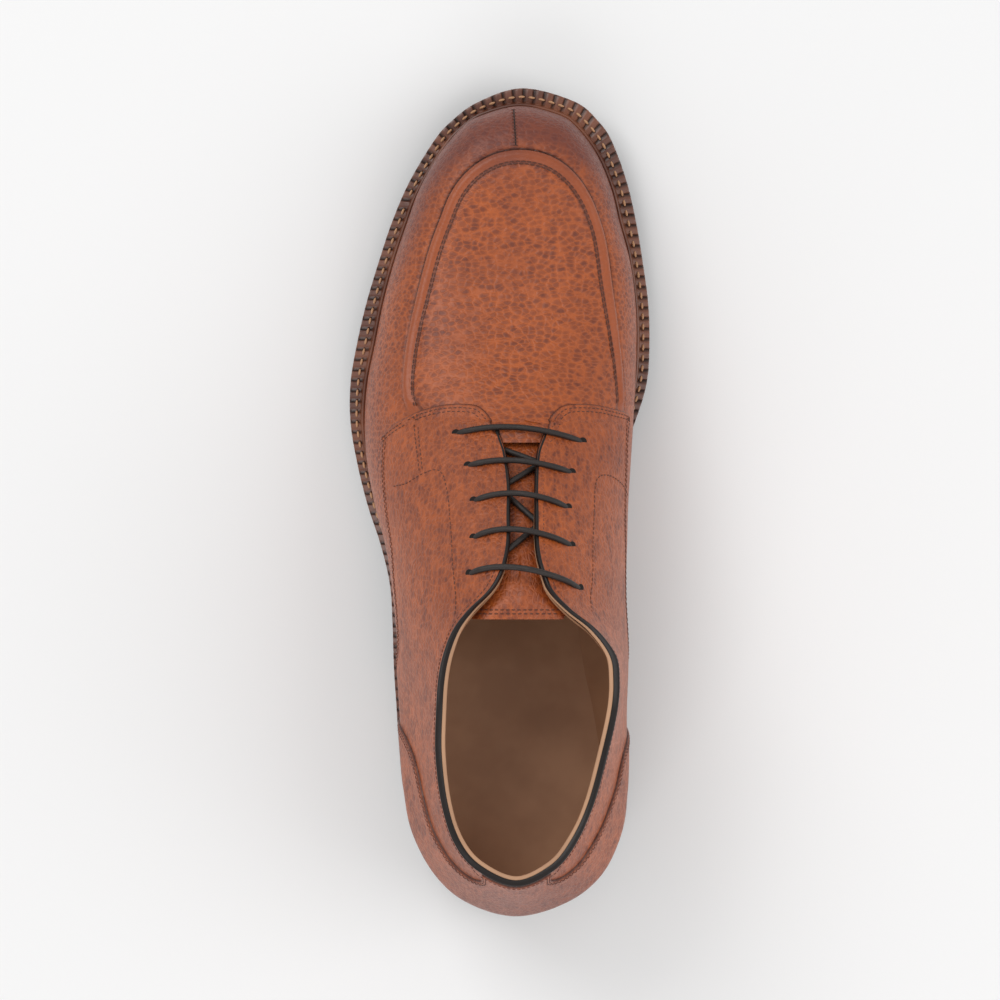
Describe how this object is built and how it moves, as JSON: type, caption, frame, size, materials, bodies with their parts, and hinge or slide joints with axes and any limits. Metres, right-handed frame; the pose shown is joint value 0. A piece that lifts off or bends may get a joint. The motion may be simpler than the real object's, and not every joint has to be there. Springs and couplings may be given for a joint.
{
  "type": "apron toe derby",
  "caption": "Left apron toe derby shoe with welted sole, stacked heel, outer heel counter, open-laced facings and tongue.",
  "frame": {"origin": "on the floor, at the middle of the shoe's length and width", "axes": "toe towards -Y, heel towards +Y, up +Z, the outer side of the left foot towards +X"},
  "size_m": [0.1122, 0.308, 0.1164],
  "materials": {
    "upper_leather": "pebbled cognac grain, burnished at the toe",
    "counter_leather": "burnished brown grain",
    "tongue_leather": "pebbled cognac grain",
    "welt_leather": "dark brown, stitched",
    "midsole_leather": "antiqued brown edge",
    "outsole_rubber": "matt black",
    "insole_leather": "plain natural lining",
    "heel_leather": "antiqued brown edge",
    "heel_rubber": "matt black",
    "lace_cord": "waxed round cord"
  },
  "bodies": {
    "root": {"upper": "upper_leather", "heel_counter": "counter_leather", "tongue": "tongue_leather", "welt": "welt_leather", "midsole": "midsole_leather", "outsole": "outsole_rubber", "insole": "insole_leather", "heel_lift_1": "heel_leather", "heel_lift_2": "heel_leather", "heel_lift_3": "heel_leather", "heel_top_piece": "heel_rubber", "lace_bar_1": "lace_cord", "lace_bar_2": "lace_cord", "lace_bar_3": "lace_cord", "lace_bar_4": "lace_cord", "lace_bar_5": "lace_cord"}
  },
  "joints": []
}
